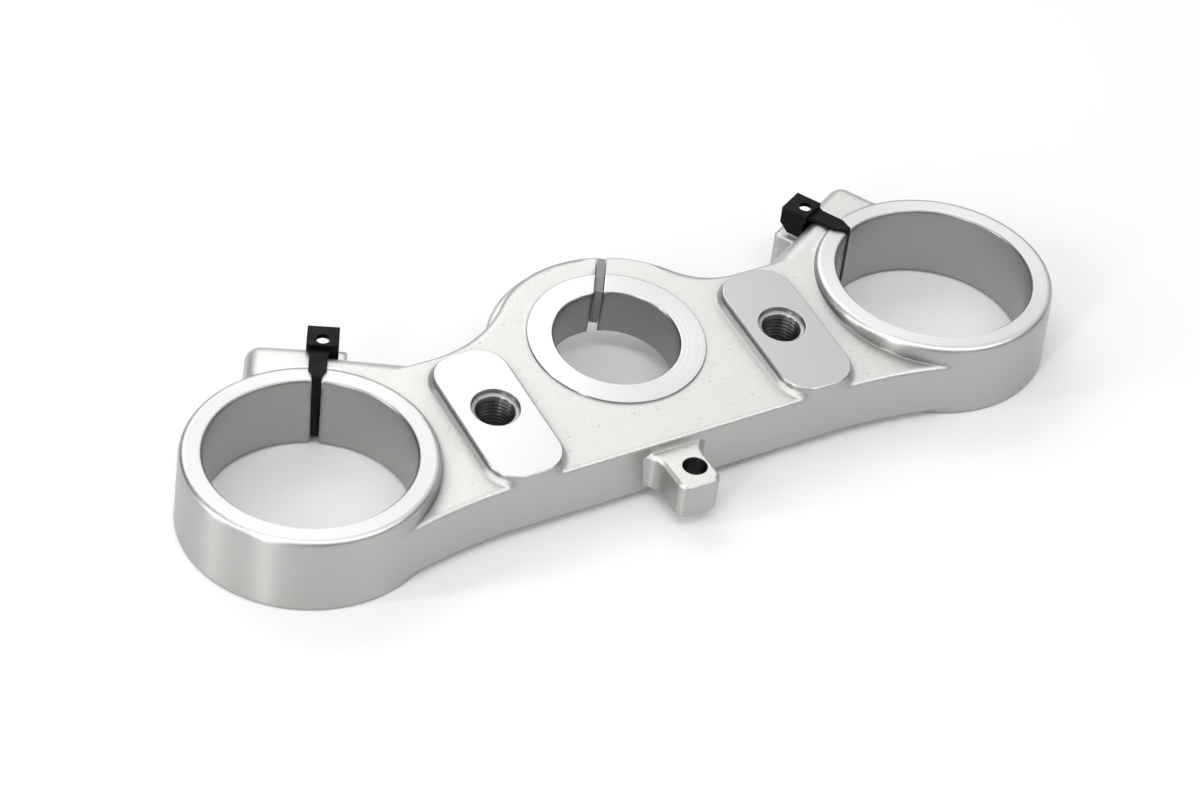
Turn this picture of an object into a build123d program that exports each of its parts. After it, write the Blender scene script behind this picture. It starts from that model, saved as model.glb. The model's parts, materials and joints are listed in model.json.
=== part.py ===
from build123d import *
from math import cos, radians, sin, sqrt

# Upper triple clamp of a motorcycle: one aluminium casting that holds two fork
# tubes and the steering stem, with two handlebar pads and a front lug, and the
# three moulded inserts that fill its clamping slots.
# Origin on the steering stem's axis, at the top of the cast web.
# X runs along the fork spacing, +Y to the slotted rear, +Z up along the forks.

# Driving dimensions, millimetres and degrees
fork_spacing = 187.6
fork_bore = 54.0
fork_wall = 5.9
ring_height = 21.8
ring_top_round = 1.7
casting_draft = 2.6
bore_chamfer = 0.6

web_tilt = 5.0
web_thickness = 14.4
web_height = 19.9
web_front_reach = 26.7
web_rear_reach = 20.9
front_sweep = 140.0
front_edge_round = 1.3
ear_rim_round = 4.5

stem_setback = 10.7
stem_bore = 34.0
stem_bore_chamfer = 0.4
stem_boss = 63.7
boss_blend_left = 36.0
boss_blend_right = 20.0
spot_face = 47.8
spot_face_rise = 0.5

clamp_angle = 62.0
slot_width = 2.4
ear_top_drop = 0.3
ear_lift = 1.6
outer_ear_reach = 42.0
ear_step = 3.2
outer_ear_width = 19.2
ear_round = 4.5
ear_corner_round = 4.0
pinch_reach = 33.6
pinch_height = 10.6
pinch_clearance_hole = 8.5
pinch_tap_hole = 6.8
pinch_tap_depth = 19.0
pinch_head_seat = 14.0
pinch_head_depth = 3.0
foot_overhang = 4.3
foot_width = 7.2
foot_height = 15.5
foot_round = 1.0

stem_slot_angle = 58.0
stem_slot_offset = 5.9
stem_slot_width = 2.7
stem_pinch_reach = 24.0
stem_pinch_drop = 9.6
stem_tap_depth = 15.0
stem_foot_radius = 34.5
stem_foot_start = 95.0
stem_foot_sweep = 70.0
stem_foot_drop = 5.0

pad_spacing = 86.8
pad_width = 20.8
pad_length = 45.3
pad_middle = -15.0
pad_sink = 2.5
pad_base_chamfer = 1.2
machined_edge_break = 0.3
pad_corner = 8.0
pad_rise = 2.8
pad_hole_spacing = 86.2
pad_hole_middle = -13.3
pad_thread_bore = 10.6
pad_counterbore = 13.0
pad_counterbore_depth = 1.4

lug_offset = -2.9
lug_width = 11.8
lug_reach = 42.0
lug_top = 14.0
lug_bottom = 3.6
lug_root_round = 5.5
lug_root_depth = 4.0
lug_end_round = 2.6
lug_edge_chamfer = 0.9
lug_hole = 6.4
lug_hole_reach = 35.5
lug_hole_offset = -1.8

insert_gap = 0.2
selection_margin = 1.0
strip_bottom = 2.4
neck_width = 4.8
neck_flare_width = 6.4
neck_flare = 1.6
neck_taper = 2.6
neck_thickness = 0.9
neck_round = 0.8
head_width = 8.4
head_offset = 0.8
head_overlap = 0.3
head_overhang = 4.1
head_top = 24.0
head_bottom = 16.3
head_bevel = 2.6
head_hole = 3.7
head_hole_inset = 5.0

stem_strip_wall = 1.6
stem_strip_top_drop = 0.4
stem_strip_bottom = 2.4

fork_x = fork_spacing / 2
ring_radius = fork_bore / 2 + fork_wall
ear_height = ring_height - ear_top_drop
inner_ear_reach = outer_ear_reach - ear_step
foot_reach = outer_ear_reach + foot_overhang
head_front = inner_ear_reach - head_overlap
head_rear = outer_ear_reach + head_overhang
stem_strip_reach = stem_pinch_reach + pinch_clearance_hole / 2 + insert_gap + stem_strip_wall
strip_width = slot_width - 2 * insert_gap
strip_front = fork_bore / 2 + insert_gap
strip_rear = inner_ear_reach + insert_gap
neck_front = strip_front + neck_round
neck_taper_start = neck_front + neck_taper
neck_flare_start = head_front - neck_flare
neck_rear = head_front + head_overlap

# Plane of the fork rings' undersides, its origin midway between the fork axes
fork_base = Plane(origin=(0, -stem_setback, -web_height))

# Planes of the tilted web, along the steering stem's axis
web_top = Plane(
    origin=(0, 0, 0),
    x_dir=(1, 0, 0),
    z_dir=(0, -sin(radians(web_tilt)), cos(radians(web_tilt))),
)
web_bottom = web_top.offset(-web_thickness)
web_axis = Axis(web_top.origin, web_top.z_dir)

# Plane of the left clamp: X along its slot, Y to the outer ear
slot_dir = Vector(cos(radians(clamp_angle)), sin(radians(clamp_angle)), 0)
clamp_plane = Plane(origin=(-fork_x, -stem_setback, -web_height), x_dir=slot_dir, z_dir=(0, 0, 1))
across_slot = clamp_plane.y_dir

# The front wall leaves its straight middle in an arc that is tangent to the rings
sweep_x = fork_x - sqrt(
    (ring_radius - web_front_reach) * (ring_radius + web_front_reach + 2 * front_sweep)
)
sweep_share = ring_radius / (ring_radius + front_sweep)
touch_x = fork_x - (fork_x - sweep_x) * sweep_share
touch_y = -(web_front_reach + front_sweep) * sweep_share

# The rear edge turns from its straight middle towards the inner ear
knee_x = fork_x - (inner_ear_reach - web_rear_reach * slot_dir.Y) / slot_dir.X
inner_ear_end = slot_dir * inner_ear_reach - Vector(fork_x, 0, 0)

# The steering clamp's screw crosses its slot from the foot at the left
stem_slot_plane = Plane(
    origin=web_top.origin,
    x_dir=web_top.x_dir.rotate(web_axis, stem_slot_angle),
    z_dir=web_top.z_dir,
)
stem_bolt_plane = Plane(
    origin=stem_slot_plane.from_local_coords(Vector(stem_pinch_reach, stem_slot_offset, -stem_pinch_drop)),
    x_dir=stem_slot_plane.x_dir,
    z_dir=-stem_slot_plane.y_dir,
)


# A fork clamp's screw enters from the outer ear
bolt_plane = Plane(
    origin=clamp_plane.from_local_coords(Vector(pinch_reach, outer_ear_width, pinch_height)),
    x_dir=slot_dir,
    z_dir=-across_slot,
)


with BuildPart() as outer_ear:
    with BuildSketch(clamp_plane.offset(ear_lift)):
        with Locations((outer_ear_reach / 2, outer_ear_width / 2)):
            Rectangle(outer_ear_reach, outer_ear_width)
    extrude(amount=ear_height - ear_lift)
    outer_corner = outer_ear.edges().filter_by(Axis.Z).sort_by(Axis(clamp_plane.origin, slot_dir))[-2:]
    fillet(outer_corner.sort_by(Axis(clamp_plane.origin, across_slot))[-1], ear_corner_round)
    top_rim = outer_ear.faces().sort_by(Axis.Z)[-1].edges()
    along = Axis(clamp_plane.origin, slot_dir)
    fillet(top_rim.sort_by(along)[-2:], ear_round)

with BuildPart() as clamp_foot:
    with BuildSketch(clamp_plane.offset(ear_lift)):
        with Locations(((pinch_reach + foot_reach) / 2, -foot_width / 2)):
            Rectangle(foot_reach - pinch_reach, foot_width)
    extrude(amount=foot_height - ear_lift)
    foot_corner = clamp_foot.edges().filter_by(Axis.Z).sort_by(Axis(clamp_plane.origin, slot_dir))[-2:]
    fillet(foot_corner.sort_by(Axis(clamp_plane.origin, across_slot))[0], foot_round)

with BuildPart() as fork_ring:
    with BuildSketch(clamp_plane.offset(ring_height)):
        Circle(ring_radius)
    extrude(amount=-ring_height, taper=-casting_draft)
    fillet(fork_ring.edges().sort_by(Axis.Z)[-1], ring_top_round)

with BuildPart() as clamp_cuts:
    with BuildSketch(clamp_plane):
        with Locations((foot_reach, 0)):
            Rectangle(2 * foot_reach, slot_width)
    extrude(amount=ring_height)
    with BuildSketch(bolt_plane):
        Circle(pinch_clearance_hole / 2)
    extrude(amount=outer_ear_width)
    with BuildSketch(bolt_plane):
        Circle(pinch_tap_hole / 2)
    extrude(amount=outer_ear_width + pinch_tap_depth)
    with BuildSketch(bolt_plane):
        Circle(pinch_head_seat / 2)
    extrude(amount=pinch_head_depth)


def lies_on_web(edge):
    """True for an edge in the web's top surface."""
    return all(abs(web_top.to_local_coords(edge @ share).Z) < 0.01 for share in (0, 0.5, 1))


def on_ear_rim(edge):
    """True for an edge at the top of an inner ear's rear side."""
    middle = edge.center()
    along = clamp_plane.to_local_coords(Vector(-abs(middle.X), middle.Y, middle.Z)).X
    at_rear = abs(along - inner_ear_reach) < selection_margin
    return at_rear and abs(middle.X) > knee_x and middle.Z > 0


def beside_pad(edge):
    """True for an edge at a pad's sides or rear."""
    middle = web_top.to_local_coords(edge.center())
    across = abs(abs(middle.X) - pad_spacing / 2)
    along = middle.Y - pad_middle
    beside = across < pad_width / 2 + selection_margin / 2
    behind_front = along > pad_corner / 2 - pad_length / 2 - selection_margin
    return beside and behind_front and along < pad_length / 2 + selection_margin / 2


with BuildPart() as yoke:
    # Web, inner ears and stem boss share one outline
    with BuildSketch(fork_base.offset(ring_height)) as web_outline:
        with BuildLine():
            Line((0, -web_front_reach), (-sweep_x, -web_front_reach))
            RadiusArc((-sweep_x, -web_front_reach), (-touch_x, touch_y), -front_sweep)
            Polyline(
                (-touch_x, touch_y),
                (-fork_x, 0),
                (inner_ear_end.X, inner_ear_end.Y),
                (-knee_x, web_rear_reach),
                (0, web_rear_reach),
            )
            mirror(about=Plane.YZ)
        make_face()
        with Locations((0, stem_setback)):
            Circle(stem_boss / 2)
        joins = web_outline.vertices().filter_by(lambda v: abs(v.Y - web_rear_reach) < 0.001)
        fillet(joins.sort_by(Axis.X)[1], boss_blend_left)
        fillet(
            web_outline.vertices().filter_by(lambda v: abs(v.Y - web_rear_reach) < 0.001)
            .sort_by(Axis.X)[-2],
            boss_blend_right,
        )
    extrude(amount=-ring_height, taper=-casting_draft)
    split(bisect_by=fork_base.offset(ear_height), keep=Keep.BOTTOM)
    split(bisect_by=web_top, keep=Keep.BOTTOM)
    split(bisect_by=web_bottom, keep=Keep.TOP)
    web_rim = yoke.faces().filter_by(web_top).sort_by(web_axis)[-1].edges()
    front_rim = web_rim.filter_by(lambda e: e.center().Y < -stem_setback - 0.9 * web_front_reach)
    fillet(front_rim, front_edge_round)
    fillet(yoke.edges().filter_by(on_ear_rim), ear_rim_round)

    # Fork rings, outer ears and the feet behind the inner ears
    for feature in (fork_ring.part, outer_ear.part, clamp_foot.part):
        add(feature)
        add(mirror(feature, about=Plane.YZ))

    # Foot of the steering clamp, behind the left of the stem boss
    with BuildSketch(web_bottom):
        with BuildLine():
            foot_arc = CenterArc((0, 0), stem_foot_radius, stem_foot_start, stem_foot_sweep)
            Line((0, 0), foot_arc @ 0)
            Line(foot_arc @ 1, (0, 0))
        make_face()
    extrude(amount=web_thickness - stem_foot_drop)

    # Handlebar pads and the stem's spot face, raised from the web
    with BuildSketch(web_top.offset(-pad_sink)):
        with Locations((-pad_spacing / 2, pad_middle), (pad_spacing / 2, pad_middle)):
            RectangleRounded(pad_width, pad_length, pad_corner)
    extrude(amount=pad_sink + pad_rise)
    pad_feet = yoke.edges().filter_by(lies_on_web).filter_by(beside_pad)
    chamfer(pad_feet, pad_base_chamfer)
    pad_rims = yoke.faces().filter_by(web_top).sort_by(web_axis)[-2:].edges()
    chamfer(pad_rims, machined_edge_break)
    with BuildSketch(web_top):
        Circle(spot_face / 2)
    extrude(amount=spot_face_rise)

    # Front lug, its rims eased
    with BuildSketch(fork_base.offset(lug_bottom)) as lug_outline:
        with Locations((lug_offset, -(lug_reach + web_front_reach - lug_root_depth) / 2)):
            Rectangle(lug_width, lug_reach - web_front_reach + lug_root_depth)
        with Locations((lug_offset, lug_root_depth / 2 - web_front_reach)):
            Rectangle(lug_width + 4 * lug_root_round, lug_root_depth)
        roots = lug_outline.vertices().filter_by(lambda v: abs(v.Y + web_front_reach) < 0.001)
        fillet(roots.sort_by(Axis.X)[1:3], lug_root_round)
        fillet(lug_outline.vertices().group_by(Axis.Y)[0], lug_end_round)
    extrude(amount=lug_top - lug_bottom)
    lug_start = -stem_setback - web_front_reach - selection_margin
    lug_face = yoke.faces().filter_by(Axis.Z).filter_by(lambda f: f.center().Y < lug_start).sort_by(Axis.Z)[-1]
    chamfer(lug_face.edges().filter_by(lambda e: e.center().Y < lug_start), lug_edge_chamfer)

    # Fork bores, stem bore, slots and screw holes
    with BuildSketch(fork_base):
        with Locations((-fork_x, 0), (fork_x, 0)):
            Circle(fork_bore / 2)
    extrude(amount=ring_height, mode=Mode.SUBTRACT)
    bore_rims = yoke.edges().filter_by(GeomType.CIRCLE).filter_by(lambda e: abs(e.radius - fork_bore / 2) < 0.001)
    chamfer(bore_rims, bore_chamfer)
    with BuildSketch(web_top):
        Circle(stem_bore / 2)
    extrude(amount=web_thickness + ring_height, both=True, mode=Mode.SUBTRACT)
    stem_rims = yoke.edges().filter_by(GeomType.CIRCLE).filter_by(lambda e: abs(e.radius - stem_bore / 2) < 0.001)
    chamfer(stem_rims, stem_bore_chamfer)
    add(clamp_cuts.part, mode=Mode.SUBTRACT)
    add(mirror(clamp_cuts.part, about=Plane.YZ), mode=Mode.SUBTRACT)
    with BuildSketch(web_top):
        with Locations(Rotation(0, 0, stem_slot_angle)):
            with Locations((stem_boss / 2, stem_slot_offset)):
                Rectangle(stem_boss, stem_slot_width)
    extrude(amount=web_thickness + ring_height, both=True, mode=Mode.SUBTRACT)
    with BuildSketch(stem_bolt_plane):
        Circle(pinch_clearance_hole / 2)
    extrude(amount=-stem_boss, mode=Mode.SUBTRACT)
    with BuildSketch(stem_bolt_plane):
        Circle(pinch_tap_hole / 2)
    extrude(amount=stem_tap_depth, mode=Mode.SUBTRACT)
    with Locations(fork_base.offset(lug_top)):
        with Locations((lug_hole_offset, -lug_hole_reach)):
            Hole(lug_hole / 2, depth=lug_top)
    with Locations(web_top.offset(pad_rise)):
        with Locations((-pad_hole_spacing / 2, pad_hole_middle), (pad_hole_spacing / 2, pad_hole_middle)):
            CounterBoreHole(pad_thread_bore / 2, pad_counterbore / 2, pad_counterbore_depth, depth=ring_height)

# Profile of an insert's head along the slot: it hangs behind the inner ear
head_side = Plane(
    origin=clamp_plane.from_local_coords(Vector(0, -head_offset - head_width / 2, 0)),
    x_dir=slot_dir,
    z_dir=-across_slot,
)

with BuildPart() as left_slot_insert:
    # Strip in the slot, rounded over the edge of the bore
    with BuildSketch(clamp_plane.offset(strip_bottom)):
        with Locations(((strip_front + strip_rear) / 2, 0)):
            Rectangle(strip_rear - strip_front, strip_width)
    extrude(amount=ring_height + neck_thickness - strip_bottom)
    bore_side = left_slot_insert.faces().sort_by(Axis(clamp_plane.origin, slot_dir))[0]
    fillet(bore_side.edges().sort_by(Axis.Z)[-1], neck_round)
    # Neck on the ring face
    with BuildSketch(clamp_plane.offset(ring_height)):
        with BuildLine():
            Polyline(
                (neck_rear, neck_flare_width / 2),
                (neck_flare_start, neck_width / 2),
                (neck_taper_start, neck_width / 2),
                (neck_front, strip_width / 2),
                (neck_front, -strip_width / 2),
                (neck_taper_start, -neck_width / 2),
                (neck_flare_start, -neck_width / 2),
                (neck_rear, -neck_flare_width / 2),
                close=True,
            )
        make_face()
    extrude(amount=neck_thickness)
    # Head
    with BuildSketch(head_side):
        with BuildLine():
            Polyline(
                (head_front, head_top),
                (head_rear, head_top),
                (head_rear, head_bottom + head_bevel),
                (head_rear - head_bevel, head_bottom),
                (inner_ear_reach + insert_gap, head_bottom),
                (inner_ear_reach + insert_gap, ear_height + insert_gap),
                (head_front, ear_height + insert_gap),
                close=True,
            )
        make_face()
    extrude(amount=-head_width)
    # Relief for the outer ear, which reaches further back
    with BuildSketch(clamp_plane.offset(head_bottom)):
        with Locations((outer_ear_reach / 2 + insert_gap, head_width / 2 + slot_width / 2 - insert_gap)):
            Rectangle(outer_ear_reach, head_width)
    extrude(amount=ear_height + insert_gap - head_bottom, mode=Mode.SUBTRACT)
    with Locations(clamp_plane.offset(head_top)):
        with Locations((head_rear - head_hole_inset, -head_offset)):
            Hole(head_hole / 2)
    # Hole for the pinch screw
    with BuildSketch(bolt_plane):
        Circle(pinch_clearance_hole / 2 + insert_gap)
    extrude(amount=2 * outer_ear_width, mode=Mode.SUBTRACT)

with BuildPart() as right_slot_insert:
    add(mirror(left_slot_insert.part, about=Plane.YZ))

with BuildPart() as stem_slot_insert:
    with BuildSketch(web_bottom.offset(stem_strip_bottom)):
        with Locations(Rotation(0, 0, stem_slot_angle)):
            with Locations(((stem_bore / 2 + stem_strip_reach) / 2 + insert_gap, stem_slot_offset)):
                Rectangle(stem_strip_reach - stem_bore / 2, stem_slot_width - 2 * insert_gap)
    extrude(amount=web_thickness - stem_strip_bottom - stem_strip_top_drop)
    with BuildSketch(stem_bolt_plane):
        Circle(pinch_clearance_hole / 2 + insert_gap)
    extrude(amount=stem_slot_width, both=True, mode=Mode.SUBTRACT)

for name, piece in (
    ("yoke", yoke),
    ("left_slot_insert", left_slot_insert),
    ("right_slot_insert", right_slot_insert),
    ("stem_slot_insert", stem_slot_insert),
):
    piece.part.label = name
    export_step(piece.part, f"parts/{name}.step")
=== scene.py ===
import json
from math import copysign, pi, radians

import bmesh
import bpy
from mathutils import Matrix, Vector


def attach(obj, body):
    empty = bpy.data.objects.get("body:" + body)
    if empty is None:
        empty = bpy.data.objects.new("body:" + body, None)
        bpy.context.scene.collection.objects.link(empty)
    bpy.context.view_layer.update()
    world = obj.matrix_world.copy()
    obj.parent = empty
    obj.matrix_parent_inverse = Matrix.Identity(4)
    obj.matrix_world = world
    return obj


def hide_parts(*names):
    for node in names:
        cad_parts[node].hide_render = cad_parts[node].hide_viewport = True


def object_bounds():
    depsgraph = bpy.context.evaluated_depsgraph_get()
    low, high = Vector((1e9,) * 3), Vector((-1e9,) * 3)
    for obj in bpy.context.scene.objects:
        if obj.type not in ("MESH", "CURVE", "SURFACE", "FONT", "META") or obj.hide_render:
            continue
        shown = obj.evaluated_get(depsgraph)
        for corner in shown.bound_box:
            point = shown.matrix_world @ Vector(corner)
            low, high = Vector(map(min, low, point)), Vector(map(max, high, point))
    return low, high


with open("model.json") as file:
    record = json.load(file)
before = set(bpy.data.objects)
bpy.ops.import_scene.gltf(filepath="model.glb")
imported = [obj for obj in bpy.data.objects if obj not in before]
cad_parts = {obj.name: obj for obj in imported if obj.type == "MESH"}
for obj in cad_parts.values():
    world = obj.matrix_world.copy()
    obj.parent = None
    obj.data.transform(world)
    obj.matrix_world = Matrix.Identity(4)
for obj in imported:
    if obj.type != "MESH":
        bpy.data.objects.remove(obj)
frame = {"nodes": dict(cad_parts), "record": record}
cad_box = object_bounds()
nodes = frame["nodes"]
mounts = {m["name"]: m for m in frame["record"]["mounts"]}


# Camera, lamps and floor
# The clamp lies on its fork rings on a white sweep, photographed from its front left with a long
# lens. A softbox stands behind it, strip lamps above, left and in front, and black flags around.
mm = 0.001


def add_node(tree, kind, inputs=None, **settings):
    """A shader node's outputs; each input, by name or number, takes a value or another's output."""
    node = tree.nodes.new(kind)
    for key, value in settings.items():
        setattr(node, key, value)
    for key, value in (inputs or {}).items():
        if isinstance(value, bpy.types.NodeSocket):
            tree.links.new(value, node.inputs[key])
        else:
            node.inputs[key].default_value = value
    return node.outputs


def linear(hex_colour):
    """An sRGB hex colour as linear red, green, blue and alpha."""
    parts = [int(hex_colour[i:i + 2], 16) / 255 for i in (1, 3, 5)]
    return [c / 12.92 if c <= 0.04045 else ((c + 0.055) / 1.055) ** 2.4 for c in parts] + [1.0]


def new_material(name):
    """A material with an empty node tree, and that tree."""
    material = bpy.data.materials.new(name)
    material.use_nodes = True
    material.node_tree.nodes.clear()
    return material, material.node_tree


def new_object(name, form):
    """A mesh object in the scene, made from a bmesh, which is freed."""
    mesh = bpy.data.meshes.new(name)
    form.to_mesh(mesh)
    form.free()
    made = bpy.data.objects.new(name, mesh)
    scene.collection.objects.link(made)
    return made


def shown_and_lit(tree, shown, lit):
    """One shader where the lens or the metal sees a surface, and another where it lights others."""
    ray = add_node(tree, "ShaderNodeLightPath")
    share = ray["Is Camera Ray"]
    for kind in ("Is Glossy Ray", "Is Transmission Ray"):
        share = add_node(tree, "ShaderNodeMath", {0: share, 1: ray[kind]}, operation="ADD")[0]
    return add_node(tree, "ShaderNodeMixShader", {0: share, 1: lit, 2: shown})[0]


scene = bpy.context.scene
scene.view_settings.view_transform = "Standard"

camera_azimuth = radians(-33.364)
camera_elevation = radians(41.166)
camera_roll = radians(7.042)
camera_distance = 0.848467
camera_target = Vector((-0.003412, -0.00089, -0.0199))

camera = bpy.data.objects.new("camera", bpy.data.cameras.new("camera"))
camera.data.sensor_width = 36
camera.data.lens = 94.985
camera.data.clip_start = 0.05
scene.collection.objects.link(camera)
turn = Matrix.Rotation(camera_azimuth, 4, "Z") @ Matrix.Rotation(pi / 2 - camera_elevation, 4, "X")
camera.matrix_world = (
    Matrix.Translation(camera_target)
    @ turn
    @ Matrix.Rotation(camera_roll, 4, "Z")
    @ Matrix.Translation((0, 0, camera_distance))
)
scene.camera = camera

floor_gap = 0.35 * mm
floor_height = cad_box[0].z - floor_gap
floor_size = 8.0
floor_white = 0.95
form = bmesh.new()
bmesh.ops.create_grid(form, x_segments=1, y_segments=1, size=floor_size / 2)
bmesh.ops.translate(form, verts=form.verts, vec=(0, 0, floor_height))
floor = new_object("floor", form)

# Matt white paper: seen straight or in the metal it is white, and grey where the clamp shades it
paper, tree = new_material("white_paper_sweep")
plain = add_node(tree, "ShaderNodeBsdfDiffuse", {"Color": linear("#E6E6E6")})[0]
white = add_node(tree, "ShaderNodeBsdfDiffuse", {"Color": (floor_white, floor_white, floor_white, 1)})[0]
add_node(tree, "ShaderNodeOutputMaterial", {"Surface": shown_and_lit(tree, white, plain)})
floor.data.materials.append(paper)

# Black cloth round the set, seen in the metal alone: high in front, low behind, and highest
# behind the left end, where it darkens the sides that face left
cloth, tree = new_material("black_flag_cloth")
dark = add_node(tree, "ShaderNodeBsdfDiffuse", {"Color": linear("#2A2A2A")})
add_node(tree, "ShaderNodeOutputMaterial", {"Surface": dark[0]})
flag_distance = 1.9
for name, flag_start, flag_sweep, flag_height in (
    ("front_flag", radians(-75), radians(165), 1.5),
    ("rear_flag", radians(100), radians(240), 0.55),
    ("left_rear_flag", radians(195), radians(55), 3.2),
):
    form = bmesh.new()
    foot = form.verts.new((0, -flag_distance, floor_height))
    head = form.verts.new((0, -flag_distance, floor_height + flag_height))
    edge = form.edges.new((foot, head))
    bmesh.ops.rotate(form, verts=form.verts, cent=(0, 0, 0), matrix=Matrix.Rotation(flag_start, 3, "Z"))
    bmesh.ops.spin(
        form, geom=[foot, head, edge], cent=(0, 0, 0), axis=(0, 0, 1), angle=flag_sweep, steps=24,
    )
    flag = new_object(name, form)
    flag.visible_camera = False
    flag.visible_diffuse = False
    flag.visible_shadow = False
    flag.data.materials.append(cloth)

# Lamps: place and size in metres, watts; each faces the middle of the clamp, and the last one
# only draws light along the metal's front edges
for name, place, width, height, power in (
    ("rear_softbox", (0.02, 0.83, 0.9), 1.1, 0.6, 3.5),
    ("overhead_strip", (-0.25, -0.35, 1.2), 1.2, 0.25, 4),
    ("left_rear_strip", (-1.3, 0.25, 0.5), 0.1, 0.9, 4.5),
    ("left_front_strip", (-1.1, -0.66, 0.5), 0.1, 0.9, 4.5),
    ("edge_strip", (0.62, -0.985, 0.94), 1.2, 0.2, 4.5),
):
    lamp = bpy.data.lights.new(name, "AREA")
    lamp.shape = "RECTANGLE"
    lamp.size = width
    lamp.size_y = height
    lamp.energy = power
    holder = bpy.data.objects.new(name, lamp)
    holder.location = place
    holder.rotation_euler = Vector(place).to_track_quat("Z", "Y").to_euler()
    holder.visible_diffuse = name != "edge_strip"
    scene.collection.objects.link(holder)

board_light = 0.62
world = bpy.data.worlds.new("white_studio")
world.use_nodes = True
scene.world = world
tree = world.node_tree
tree.nodes.clear()
board = add_node(tree, "ShaderNodeBackground", {"Strength": board_light, "Color": (1, 1, 1, 1)})[0]
white = add_node(tree, "ShaderNodeBackground", {"Strength": 1.0, "Color": (1, 1, 1, 1)})[0]
add_node(tree, "ShaderNodeOutputWorld", {"Surface": shown_and_lit(tree, white, board)})


# Yoke
# The clamp body is one gravity-cast aluminium alloy part with a fine shot-blasted skin. Its sides
# are linished, and the ring faces, the spot face, the pads and the bores are cut on a mill.
fork_x, fork_y = mounts["right_fork_clamp"]["pos_m"][:2]
fork_bore = mounts["right_fork_clamp"]["dims"]["r_mm"] * mm
stem_bore = mounts["stem_clamp"]["dims"]["r_mm"] * mm
web_up = Vector(mounts["stem_clamp"]["axis"])
ring_face = 1.9 * mm
ring_face_edge = 31.2 * mm
ring_wall = 33.1 * mm
clear_of_rings = 36 * mm
spot_face = 0.5 * mm
spot_face_edge = 23.9 * mm
pad_face = 2.8 * mm
pad_middle = (43.4 * mm, -15 * mm, 0)
pad_reach = (10.4 * mm, 22.65 * mm, 1)
bore_chamfer = 0.6 * mm
slot_rear = 15 * mm
lug_x, lug_y = mounts["lug_hole"]["pos_m"][:2]
lug_hole = mounts["lug_hole"]["dims"]["r_mm"] * mm

# Aluminium casting alloy: pale, slightly warm grey, satin where it is blasted, brighter where cut, with
# painted shade on the sides, in the bores and in the inner corners
cast, tree = new_material("shot_blasted_and_milled_aluminium")
surface = add_node(tree, "ShaderNodeTexCoord")
place = surface["Object"]
across, depth, height = add_node(tree, "ShaderNodeSeparateXYZ", {0: place})
upright = add_node(
    tree, "ShaderNodeMath", {0: add_node(tree, "ShaderNodeSeparateXYZ", {0: surface["Normal"]})[2]},
    operation="ABSOLUTE",
)[0]
above_web = add_node(tree, "ShaderNodeVectorMath", {0: place, 1: web_up}, operation="DOT_PRODUCT")["Value"]

# The nearer fork's axis lies on the same side of the middle as the point
hand = add_node(tree, "ShaderNodeMath", {0: across}, operation="SIGN")[0]
nearer_fork = add_node(tree, "ShaderNodeMath", {0: hand, 1: fork_x}, operation="MULTIPLY")[0]
fork_axis = add_node(tree, "ShaderNodeCombineXYZ", {0: nearer_fork, 1: fork_y, 2: height})[0]
from_fork = add_node(tree, "ShaderNodeVectorMath", {0: place, 1: fork_axis}, operation="SUBTRACT")[0]
fork_radius = add_node(tree, "ShaderNodeVectorMath", {0: from_fork}, operation="LENGTH")["Value"]
up_stem = add_node(tree, "ShaderNodeVectorMath", {0: place, 1: web_up}, operation="PROJECT")[0]
from_stem = add_node(tree, "ShaderNodeVectorMath", {0: place, 1: up_stem}, operation="SUBTRACT")[0]
stem_radius = add_node(tree, "ShaderNodeVectorMath", {0: from_stem}, operation="LENGTH")["Value"]

# Distance beside the rear end of the steering slot
from_slot = add_node(tree, "ShaderNodeMath", {0: across, 1: slot_rear}, operation="SUBTRACT")[0]
from_slot = add_node(tree, "ShaderNodeMath", {0: from_slot}, operation="ABSOLUTE")[0]

# Distance from the axis of the lug's hole
lug_axis = add_node(tree, "ShaderNodeCombineXYZ", {0: lug_x, 1: lug_y, 2: height})[0]
from_lug = add_node(tree, "ShaderNodeVectorMath", {0: place, 1: lug_axis}, operation="SUBTRACT")[0]
lug_radius = add_node(tree, "ShaderNodeVectorMath", {0: from_lug}, operation="LENGTH")["Value"]

# Distance outside a pad's rectangle
folded = add_node(tree, "ShaderNodeVectorMath", {0: place}, operation="ABSOLUTE")[0]
folded = add_node(tree, "ShaderNodeCombineXYZ", {
    0: add_node(tree, "ShaderNodeSeparateXYZ", {0: folded})[0], 1: depth, 2: 0.0,
})[0]
from_pad = add_node(tree, "ShaderNodeVectorMath", {0: folded, 1: pad_middle}, operation="SUBTRACT")[0]
from_pad = add_node(tree, "ShaderNodeVectorMath", {0: from_pad}, operation="ABSOLUTE")[0]
from_pad = add_node(tree, "ShaderNodeVectorMath", {0: from_pad, 1: pad_reach}, operation="SUBTRACT")[0]
past_side, past_end = add_node(tree, "ShaderNodeSeparateXYZ", {0: from_pad})[:2]
from_pad = add_node(tree, "ShaderNodeMath", {0: past_side, 1: past_end}, operation="MAXIMUM")[0]

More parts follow.
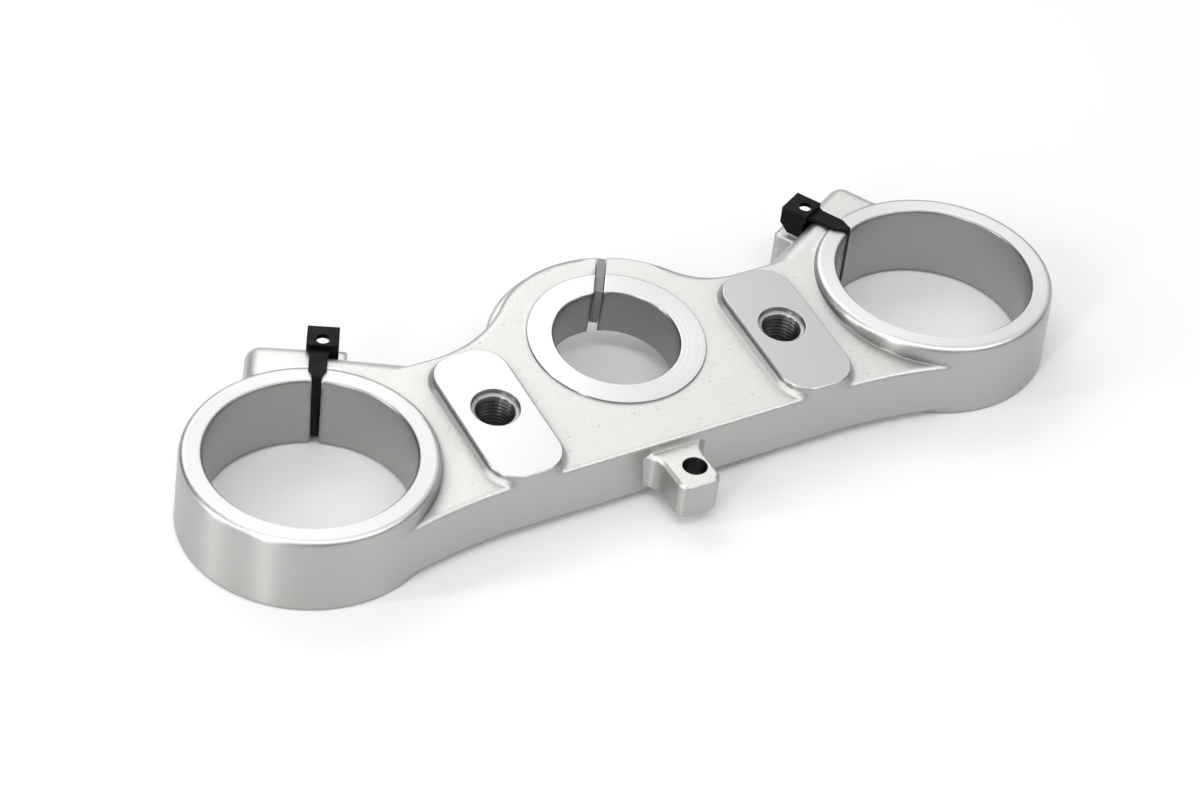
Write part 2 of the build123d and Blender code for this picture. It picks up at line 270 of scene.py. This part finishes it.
# Each line rises from 0 at the first value of its measure to 1 at the second
where = {}
for name, measure, start, full in (
    ("in_ring_face", fork_radius, ring_face_edge + 0.1 * mm, ring_face_edge - 0.1 * mm),
    ("at_ring_face", height, ring_face - 0.2 * mm, ring_face - 0.1 * mm),
    ("in_ring_wall", fork_radius, ring_wall + 0.4 * mm, ring_wall),
    ("at_ring_rim", height, ring_face - 2.6 * mm, ring_face - 1.9 * mm),
    ("in_spot_face", stem_radius, spot_face_edge + 0.05 * mm, spot_face_edge - 0.05 * mm),
    ("above_skin", above_web, spot_face - 0.2 * mm, spot_face - 0.1 * mm),
    ("at_pad_face", above_web, pad_face - 0.3 * mm, pad_face - 0.1 * mm),
    ("off_rings", fork_radius, clear_of_rings - 0.5 * mm, clear_of_rings),
    ("in_fork_bore", fork_radius, fork_bore + bore_chamfer + 0.1 * mm, fork_bore + bore_chamfer),
    ("in_stem_bore", stem_radius, stem_bore + bore_chamfer, stem_bore + bore_chamfer - 0.1 * mm),
    ("in_lug_hole", lug_radius, lug_hole + 0.2 * mm, lug_hole + 0.1 * mm),
    ("on_side", upright, 0.6, 0.25),
    ("at_rear", depth, 9 * mm, 12 * mm),
    ("beside_slot", from_slot, 7 * mm, 10 * mm),
    ("near_skin", above_web, pad_face - 0.5 * mm, pad_face - 1.5 * mm),
    ("near_ring", fork_radius, clear_of_rings, clear_of_rings - 1 * mm),
    ("near_pad", from_pad, 2.4 * mm, 1.6 * mm),
    ("web_and_up", above_web, -2 * mm, -1 * mm),
):
    where[name] = add_node(
        tree, "ShaderNodeMapRange", {0: measure, 1: start, 2: full}, interpolation_type="SMOOTHSTEP",
    )[0]
for name, kind, first, second in (
    ("turned_ring", "MULTIPLY", "in_ring_face", "at_ring_face"),
    ("rounded_rim", "MULTIPLY", "in_ring_wall", "at_ring_rim"),
    ("turned_spot", "MULTIPLY", "in_spot_face", "above_skin"),
    ("milled_pad", "MULTIPLY", "at_pad_face", "off_rings"),
    ("bored", "MAXIMUM", "in_fork_bore", "in_stem_bore"),
    ("turned", "MAXIMUM", "turned_ring", "turned_spot"),
    ("machined", "MAXIMUM", "turned", "milled_pad"),
    ("brushed", "MAXIMUM", "bored", "on_side"),
    ("near_step", "MAXIMUM", "near_ring", "near_pad"),
    ("cast_corner", "MULTIPLY", "near_step", "near_skin"),
    ("rear_edge", "MULTIPLY", "at_rear", "beside_slot"),
):
    where[name] = add_node(tree, "ShaderNodeMath", {0: where[first], 1: where[second]}, operation=kind)[0]

# Shot-blast grain about 0.25 mm across, drawn at 0.8 mm so that it shows, gas pits 0.6 mm wide
# some 5 mm apart, and a slow unevenness of the casting
grain_size = 0.8 * mm
patch_size = 9 * mm
pit_cell = 2.2 * mm
pitted_share = 0.22
grain = add_node(
    tree, "ShaderNodeTexNoise", {"Vector": place, "Scale": 1 / grain_size, "Detail": 3, "Roughness": 0.65},
)[0]
patches = add_node(
    tree, "ShaderNodeTexNoise", {"Vector": place, "Scale": 1 / patch_size, "Detail": 4, "Roughness": 0.6},
)[0]
cells = add_node(tree, "ShaderNodeTexVoronoi", {"Vector": place, "Scale": 1 / pit_cell})
pit_wall = add_node(tree, "ShaderNodeMapRange", {0: cells["Distance"], 1: 0.06, 2: 0.2, 3: 0.0, 4: 1.0})[0]
some_cells = add_node(tree, "ShaderNodeSeparateColor", {0: cells["Color"]})[0]
sound = add_node(tree, "ShaderNodeMath", {0: some_cells, 1: pitted_share}, operation="GREATER_THAN")[0]
pitted = add_node(tree, "ShaderNodeMath", {0: pit_wall, 1: sound}, operation="MAXIMUM")[0]
skin_relief = add_node(tree, "ShaderNodeMath", {0: grain, 1: pitted}, operation="ADD")[0]

# Tool marks: rings 0.7 mm apart on the turned faces, lines 0.6 mm apart along the pads, and
# linishing lines 0.3 mm apart round the sides and the bores; real feeds are a third of that
turned_feed = 0.7 * mm
flat_relief = 1.4
marks = {}
for name, measure in (("ring", fork_radius), ("spot", stem_radius)):
    marks[name] = add_node(
        tree, "ShaderNodeTexNoise", {"W": measure, "Scale": 1 / turned_feed, "Detail": 2},
        noise_dimensions="1D",
    )[0]
for name, spacing in (
    ("pad", (1 / (0.6 * mm), 1 / (14 * mm), 1 / (14 * mm))),
    ("side", (1 / (18 * mm), 1 / (18 * mm), 1 / (0.3 * mm))),
):
    stretched = add_node(tree, "ShaderNodeVectorMath", {0: place, 1: spacing}, operation="MULTIPLY")[0]
    marks[name] = add_node(tree, "ShaderNodeTexNoise", {"Vector": stretched, "Scale": 1, "Detail": 3})[0]
for name, depth_share in (("ring", 0.2), ("spot", 0.2), ("pad", 0.08), ("side", 0.5)):
    marks[name] = add_node(
        tree, "ShaderNodeMath", {0: marks[name], 1: depth_share, 2: flat_relief - depth_share / 2},
        operation="MULTIPLY_ADD",
    )[0]

# What each finish changes, laid over the skin one after the other
relief = skin_relief
roughness = add_node(tree, "ShaderNodeMapRange", {0: patches, 1: 0.3, 2: 0.7, 3: 0.45, 4: 0.51})[0]
for finish, own_relief, own_roughness in (
    ("brushed", marks["side"], 0.38),
    ("rounded_rim", flat_relief, 0.4),
    ("milled_pad", marks["pad"], 0.28),
    ("turned_ring", marks["ring"], 0.58),
    ("turned_spot", marks["spot"], 0.24),
):
    relief = add_node(
        tree, "ShaderNodeMix", {0: where[finish], 2: relief, 3: own_relief}, data_type="FLOAT",
    )[0]
    roughness = add_node(
        tree, "ShaderNodeMix", {0: where[finish], 2: roughness, 3: own_roughness}, data_type="FLOAT",
    )[0]

# Tool marks stretch a highlight across themselves: up the sides, outwards on the turned faces
machined_stretch = 0.5
side_stretch = 0.87
bore_stretch = 0.3
tangent = (0, 0, 1)
for finish, direction in (("turned_ring", from_fork), ("turned_spot", from_stem), ("milled_pad", (0, 1, 0))):
    tangent = add_node(
        tree, "ShaderNodeMix", {0: where[finish], 4: tangent, 5: direction}, data_type="VECTOR",
    )[1]
stretch = add_node(
    tree, "ShaderNodeMath", {0: where["machined"], 1: machined_stretch}, operation="MULTIPLY",
)[0]
upwards = add_node(tree, "ShaderNodeMath", {0: where["on_side"], 1: side_stretch}, operation="MULTIPLY")[0]
upwards = add_node(
    tree, "ShaderNodeMix", {0: where["bored"], 2: upwards, 3: bore_stretch}, data_type="FLOAT",
)[0]
stretch = add_node(tree, "ShaderNodeMath", {0: stretch, 1: upwards}, operation="MAXIMUM")[0]

# Cast edges are soft, most of all at the rear and where the web meets rings and pads, the rings'
# rims are turned round, and cut faces are only deburred
corner = 0.6 * mm
for place_name, radius in (
    ("cast_corner", 1.3 * mm), ("rear_edge", 2.4 * mm), ("machined", 0.3 * mm), ("rounded_rim", 0.9 * mm),
):
    corner = add_node(
        tree, "ShaderNodeMix", {0: where[place_name], 2: corner, 3: radius}, data_type="FLOAT",
    )[0]
softened = add_node(tree, "ShaderNodeBevel", {"Radius": corner}, samples=12)[0]
relief_depth = 0.05 * mm
bump = add_node(
    tree, "ShaderNodeBump", {"Strength": 1.0, "Distance": relief_depth, "Height": relief, "Normal": softened},
)[0]

colour = add_node(
    tree, "ShaderNodeMix", {0: patches, 6: linear("#CACAC8"), 7: linear("#D2D1CF")}, data_type="RGBA",
)[2]
# Painted shade: the sides are coloured darker than the top, the bores darker still, the steering bore most,
# and the lug's hole near black; the cut faces keep tints of their own
for finish, own_tint_or_shade in (
    ("on_side", "#BEBDBB"), ("bored", "#AAA9A7"), ("in_stem_bore", "#999896"), ("in_lug_hole", "#4E4D4B"),
    ("milled_pad", "#C2C2C1"), ("turned_spot", "#C8C8C7"), ("turned_ring", "#DCDCDB"),
):
    colour = add_node(
        tree, "ShaderNodeMix", {0: where[finish], 6: colour, 7: linear(own_tint_or_shade)}, data_type="RGBA",
    )[2]

# Painted shade: the colour darkens in the inner corners on the web, where ambient occlusion finds other
# surfaces close, but not on cut faces
corner_reach = 6 * mm
open_sky = add_node(
    tree, "ShaderNodeAmbientOcclusion", {"Distance": corner_reach}, samples=8, only_local=True,
)["AO"]
shade_and_dirt = add_node(tree, "ShaderNodeMapRange", {0: open_sky, 1: 0.4, 2: 0.9, 3: 0.22, 4: 1.0})[0]
shade_and_dirt = add_node(tree, "ShaderNodeMix", {0: where["web_and_up"], 2: 1.0, 3: shade_and_dirt}, data_type="FLOAT")[0]
shade_and_dirt = add_node(tree, "ShaderNodeMix", {0: where["machined"], 2: shade_and_dirt, 3: 1.0}, data_type="FLOAT")[0]

# Grain and linishing lines also hold a little dirt
tone = add_node(tree, "ShaderNodeMapRange", {0: relief, 1: 0.0, 2: 1.6, 3: 0.7, 4: 1.06})[0]
shade_and_dirt = add_node(tree, "ShaderNodeMath", {0: shade_and_dirt, 1: tone}, operation="MULTIPLY")[0]
# The painted corner shade and the dirt in the grain darken the colour together
colour = add_node(
    tree, "ShaderNodeMix", {0: 1.0, 6: colour, 7: shade_and_dirt}, data_type="RGBA", blend_type="MULTIPLY",
)[2]
metal = add_node(
    tree, "ShaderNodeBsdfPrincipled",
    {
        "Metallic": 1.0, "Base Color": colour, "Roughness": roughness, "Normal": bump,
        "Anisotropic": stretch, "Tangent": tangent,
    },
)
add_node(tree, "ShaderNodeOutputMaterial", {"Surface": metal[0]})
nodes["yoke"].data.materials.clear()
nodes["yoke"].data.materials.append(cast)


# Threads of the handlebar pads
# M12 fine threads tapped right through the pads and the web. Only the crests stand into the
# bore, and the threads are coloured dark grey.
thread_pitch = 1.25 * mm
thread_crest = 0.38 * mm
thread_root = 0.04 * mm
thread_top = 7.2 * mm
thread_steps = 36
crest_start = 0.42 * thread_pitch
crest_end = 0.58 * thread_pitch

# Tapped aluminium: dark grey, half-gloss, in slow patches
tapped, tree = new_material("tapped_dark_aluminium")
place = add_node(tree, "ShaderNodeTexCoord")["Object"]
thread_patches = add_node(tree, "ShaderNodeTexNoise", {"Vector": place, "Scale": 1 / (2 * mm), "Detail": 3})[0]
colour = add_node(
    tree, "ShaderNodeMix", {0: thread_patches, 6: linear("#4A4947"), 7: linear("#6A6967")}, data_type="RGBA",
)[2]
gloss = add_node(tree, "ShaderNodeMapRange", {0: thread_patches, 1: 0.3, 2: 0.7, 3: 0.3, 4: 0.45})[0]
metal = add_node(
    tree, "ShaderNodeBsdfPrincipled", {"Metallic": 1.0, "Base Color": colour, "Roughness": gloss},
)
add_node(tree, "ShaderNodeOutputMaterial", {"Surface": metal[0]})
for name in ("left_bar_thread", "right_bar_thread"):
    bore_radius = mounts[name]["dims"]["r_mm"] * mm
    axis = Vector(mounts[name]["axis"]).normalized()
    outwards = axis.cross(Vector((0, 1, 0))).normalized()
    turns = int(mounts[name]["dims"]["length_mm"] * mm / thread_pitch) - 1
    top = Vector(mounts[name]["pos_m"]) + axis * thread_top
    form = bmesh.new()
    flank = [
        form.verts.new(top + outwards * (bore_radius + reach) - axis * down)
        for reach, down in (
            (thread_root, 0),
            (-thread_crest, crest_start),
            (-thread_crest, crest_end),
            (thread_root, thread_pitch),
        )
    ]
    flank += [form.edges.new(pair) for pair in zip(flank, flank[1:])]
    bmesh.ops.spin(
        form, geom=flank, cent=top, axis=axis, angle=2 * pi * turns, steps=turns * thread_steps,
        dvec=-axis * thread_pitch / thread_steps,
    )
    bmesh.ops.remove_doubles(form, verts=form.verts, dist=0.001 * mm)
    bmesh.ops.recalc_face_normals(form, faces=form.faces)
    piece = new_object(name, form)
    piece.data.materials.append(tapped)
    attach(piece, "root")


# Slot inserts
# Two mirror-image clips moulded in black nylon are pushed into the fork slots, and a grey
# rubber strip fills the steering slot.

# Moulded nylon: near black, soft sheen, with spark-eroded grain 0.2 mm across drawn at 0.35 mm
nylon, tree = new_material("moulded_black_nylon")
place = add_node(tree, "ShaderNodeTexCoord")["Object"]
grain = add_node(tree, "ShaderNodeTexNoise", {"Vector": place, "Scale": 1 / (0.35 * mm), "Detail": 2})[0]
bump = add_node(tree, "ShaderNodeBump", {"Strength": 0.25, "Distance": 0.03 * mm, "Height": grain})[0]
patches = add_node(tree, "ShaderNodeTexNoise", {"Vector": place, "Scale": 1 / (3 * mm), "Detail": 2})[0]
gloss = add_node(tree, "ShaderNodeMapRange", {0: patches, 1: 0.3, 2: 0.7, 3: 0.42, 4: 0.56})[0]
plastic = add_node(
    tree, "ShaderNodeBsdfPrincipled",
    {"Base Color": linear("#0C0C0C"), "Specular IOR Level": 0.12, "Roughness": gloss, "Normal": bump},
)
add_node(tree, "ShaderNodeOutputMaterial", {"Surface": plastic[0]})

# The head is moulded thin-walled, open below, to the rear and to the outer ear, so that the hole
# in its top shows light; heights are above the ring's underside, lengths from the fork's axis
head_floor = 15.3 * mm
head_ceiling = 22.7 * mm
head_front_wall = 39.8 * mm
head_inner_wall = -3.8 * mm
head_reach = 47.1 * mm
head_outer = 4.4 * mm
for hand in ("left", "right"):
    name = hand + "_slot_insert"
    across = Vector(mounts[hand + "_pinch_thread"]["axis"])
    along = Vector((-copysign(across.y, across.x), abs(across.x), 0))
    corner = Vector(mounts[hand + "_fork_clamp"]["pos_m"])
    corner.z = cad_box[0].z
    middle = corner + along * (head_front_wall + head_reach) / 2 + across * (head_inner_wall + head_outer) / 2
    middle.z += (head_floor + head_ceiling) / 2
    form = bmesh.new()
    bmesh.ops.create_cube(form, size=1)
    bmesh.ops.scale(
        form, verts=form.verts,
        vec=(head_reach - head_front_wall, head_outer - head_inner_wall, head_ceiling - head_floor),
    )
    clamp_turn = Matrix((along, across, (0, 0, 1))).transposed()
    bmesh.ops.transform(form, verts=form.verts, matrix=Matrix.Translation(middle) @ clamp_turn.to_4x4())
    bmesh.ops.recalc_face_normals(form, faces=form.faces)
    pocket = new_object("head_pocket", form)

    form = bmesh.new()
    form.from_mesh(nodes[name].data)
    bmesh.ops.remove_doubles(form, verts=form.verts, dist=0.001 * mm)
    clip = new_object(hand + "_clip", form)
    cut = clip.modifiers.new("pocket", "BOOLEAN")
    cut.operation = "DIFFERENCE"
    cut.object = pocket
    hollow = bpy.data.meshes.new_from_object(clip.evaluated_get(bpy.context.evaluated_depsgraph_get()))
    clip.modifiers.clear()
    clip.data = hollow
    bpy.data.objects.remove(pocket)
    clip.data.materials.clear()
    clip.data.materials.append(nylon)
    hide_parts(name)
    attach(clip, "root")

# Moulded rubber: mid grey and mottled with mould release, which dulls it in places
rubber, tree = new_material("moulded_grey_rubber")
place = add_node(tree, "ShaderNodeTexCoord")["Object"]
mottle = add_node(tree, "ShaderNodeTexNoise", {"Vector": place, "Scale": 1 / (1.2 * mm), "Detail": 3})[0]
colour = add_node(
    tree, "ShaderNodeMix", {0: mottle, 6: linear("#7C7C7C"), 7: linear("#8E8E8E")}, data_type="RGBA",
)[2]
gloss = add_node(tree, "ShaderNodeMapRange", {0: mottle, 1: 0.3, 2: 0.7, 3: 0.4, 4: 0.55})[0]
bump = add_node(tree, "ShaderNodeBump", {"Strength": 0.3, "Distance": 0.03 * mm, "Height": mottle})[0]
strip = add_node(tree, "ShaderNodeBsdfPrincipled", {"Base Color": colour, "Roughness": gloss, "Normal": bump})
add_node(tree, "ShaderNodeOutputMaterial", {"Surface": strip[0]})
nodes["stem_slot_insert"].data.materials.clear()
nodes["stem_slot_insert"].data.materials.append(rubber)
